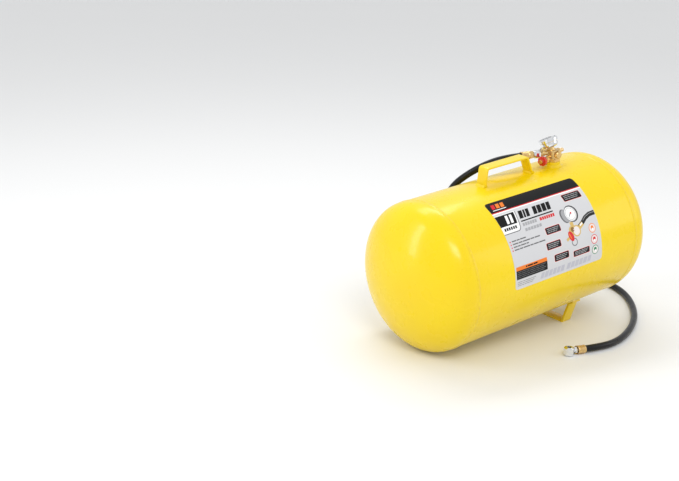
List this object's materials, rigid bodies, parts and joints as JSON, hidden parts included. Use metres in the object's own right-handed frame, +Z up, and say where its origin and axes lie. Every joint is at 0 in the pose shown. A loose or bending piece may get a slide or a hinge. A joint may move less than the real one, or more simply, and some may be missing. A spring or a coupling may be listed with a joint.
{
  "type": "air receiver tank",
  "caption": "Portable air receiver tank: a lying steel cylinder with domed ends, a bent-bar handle and foot, a brass manifold with a gauge and valves, and a hose with a tyre chuck.",
  "frame": {"origin": "on the floor, under the middle of the tank", "axes": "+X along the tank towards the manifold, +Y to the back, away from the label, +Z up from the floor"},
  "size_m": [0.7137, 0.4094, 0.4],
  "materials": {
    "yellow_paint": "gloss powder coat",
    "brass": "machined",
    "chrome": "bright plated",
    "steel": "plain",
    "red_knob": "moulded",
    "hose_rubber": "smooth extruded",
    "seal_rubber": "matte",
    "label_film": "printed, laminated",
    "clear_lens": "clear",
    "dial_white": "printed",
    "pointer_black": "satin"
  },
  "bodies": {
    "tank": {"bourdon_tube": "brass", "bung": "yellow_paint", "bung_weld": "yellow_paint", "chuck_body": "chrome", "chuck_ferrule": "brass", "chuck_ring": "chrome", "chuck_seal": "seal_rubber", "fill_core": "brass", "fill_valve": "brass", "foot": "yellow_paint", "foot_welds": "yellow_paint", "gauge_bezel": "chrome", "gauge_case": "chrome", "gauge_dial": "dial_white", "gauge_lens": "clear_lens", "gauge_socket": "brass", "handle": "yellow_paint", "handle_welds": "yellow_paint", "hose": "hose_rubber", "hose_adapter": "brass", "hose_ferrule": "brass", "hose_stem": "brass", "label": "label_film", "left_girth_weld": "yellow_paint", "left_head": "yellow_paint", "manifold_body": "brass", "movement_plate": "brass", "packing_nut": "brass", "port_plug": "brass", "relief_body": "brass", "relief_cap": "brass", "relief_spring": "steel", "right_girth_weld": "yellow_paint", "right_head": "yellow_paint", "seam_weld": "yellow_paint", "shell": "yellow_paint", "swivel_nut": "chrome"},
    "spindle": {"valve_spindle": "steel", "valve_washer": "seal_rubber"},
    "knob": {"valve_knob": "red_knob", "knob_nut": "brass"},
    "pointer": {"gauge_pointer": "pointer_black", "pointer_pinion": "steel"},
    "sector": {"sector_gear": "brass"},
    "fill_pin": {"fill_pin": "steel"},
    "relief_stem": {"relief_stem": "steel", "relief_seal": "seal_rubber"},
    "pull_ring": {"pull_ring": "steel"},
    "chuck_pin": {"chuck_pin": "steel"}
  },
  "joints": [
    {"name": "knob_turn", "type": "hinge", "parent": "spindle", "child": "knob", "pos_m": [0.07977, -0.00521, 0.35188], "axis": [-0.9803, -0.1736, -0.0944], "range_deg": [0, 540]},
    {"name": "spindle_travel", "type": "slide", "parent": "tank", "child": "spindle", "axis": [-0.9803, -0.1736, -0.0944], "range_m": [0, 0.002]},
    {"name": "pointer_turn", "type": "hinge", "parent": "tank", "child": "pointer", "pos_m": [0.10262, 0.00965, 0.38509], "axis": [-0.2265, 0.371, 0.9006], "range_deg": [-270, 0], "stiffness_Nm_per_rad": 0.00002},
    {"name": "sector_turn", "type": "hinge", "parent": "tank", "child": "sector", "pos_m": [0.10353, 0.01999, 0.37873], "axis": [-0.2265, 0.371, 0.9006], "range_deg": [0, 39]},
    {"name": "fill_pin_press", "type": "slide", "parent": "tank", "child": "fill_pin", "axis": [0.9954, 0, 0.0958], "range_m": [-0.0015, 0], "stiffness_N_per_m": 300},
    {"name": "relief_lift", "type": "slide", "parent": "tank", "child": "relief_stem", "axis": [0.1728, 0.9848, 0.0166], "range_m": [0, 0.003], "stiffness_N_per_m": 2000},
    {"name": "ring_swing", "type": "hinge", "parent": "relief_stem", "child": "pull_ring", "pos_m": [0.11524, 0.03791, 0.36152], "axis": [0.9803, -0.1736, 0.0944], "range_deg": [-15, 110]},
    {"name": "chuck_pin_press", "type": "slide", "parent": "tank", "child": "chuck_pin", "axis": [0, 0, 1], "range_m": [-0.0015, 0], "stiffness_N_per_m": 300}
  ],
  "couplings": [
    {"joint": "knob_turn", "follows": "spindle_travel", "rad_per_m": 4712},
    {"joint": "sector_turn", "follows": "pointer_turn", "ratio": -0.14286}
  ]
}
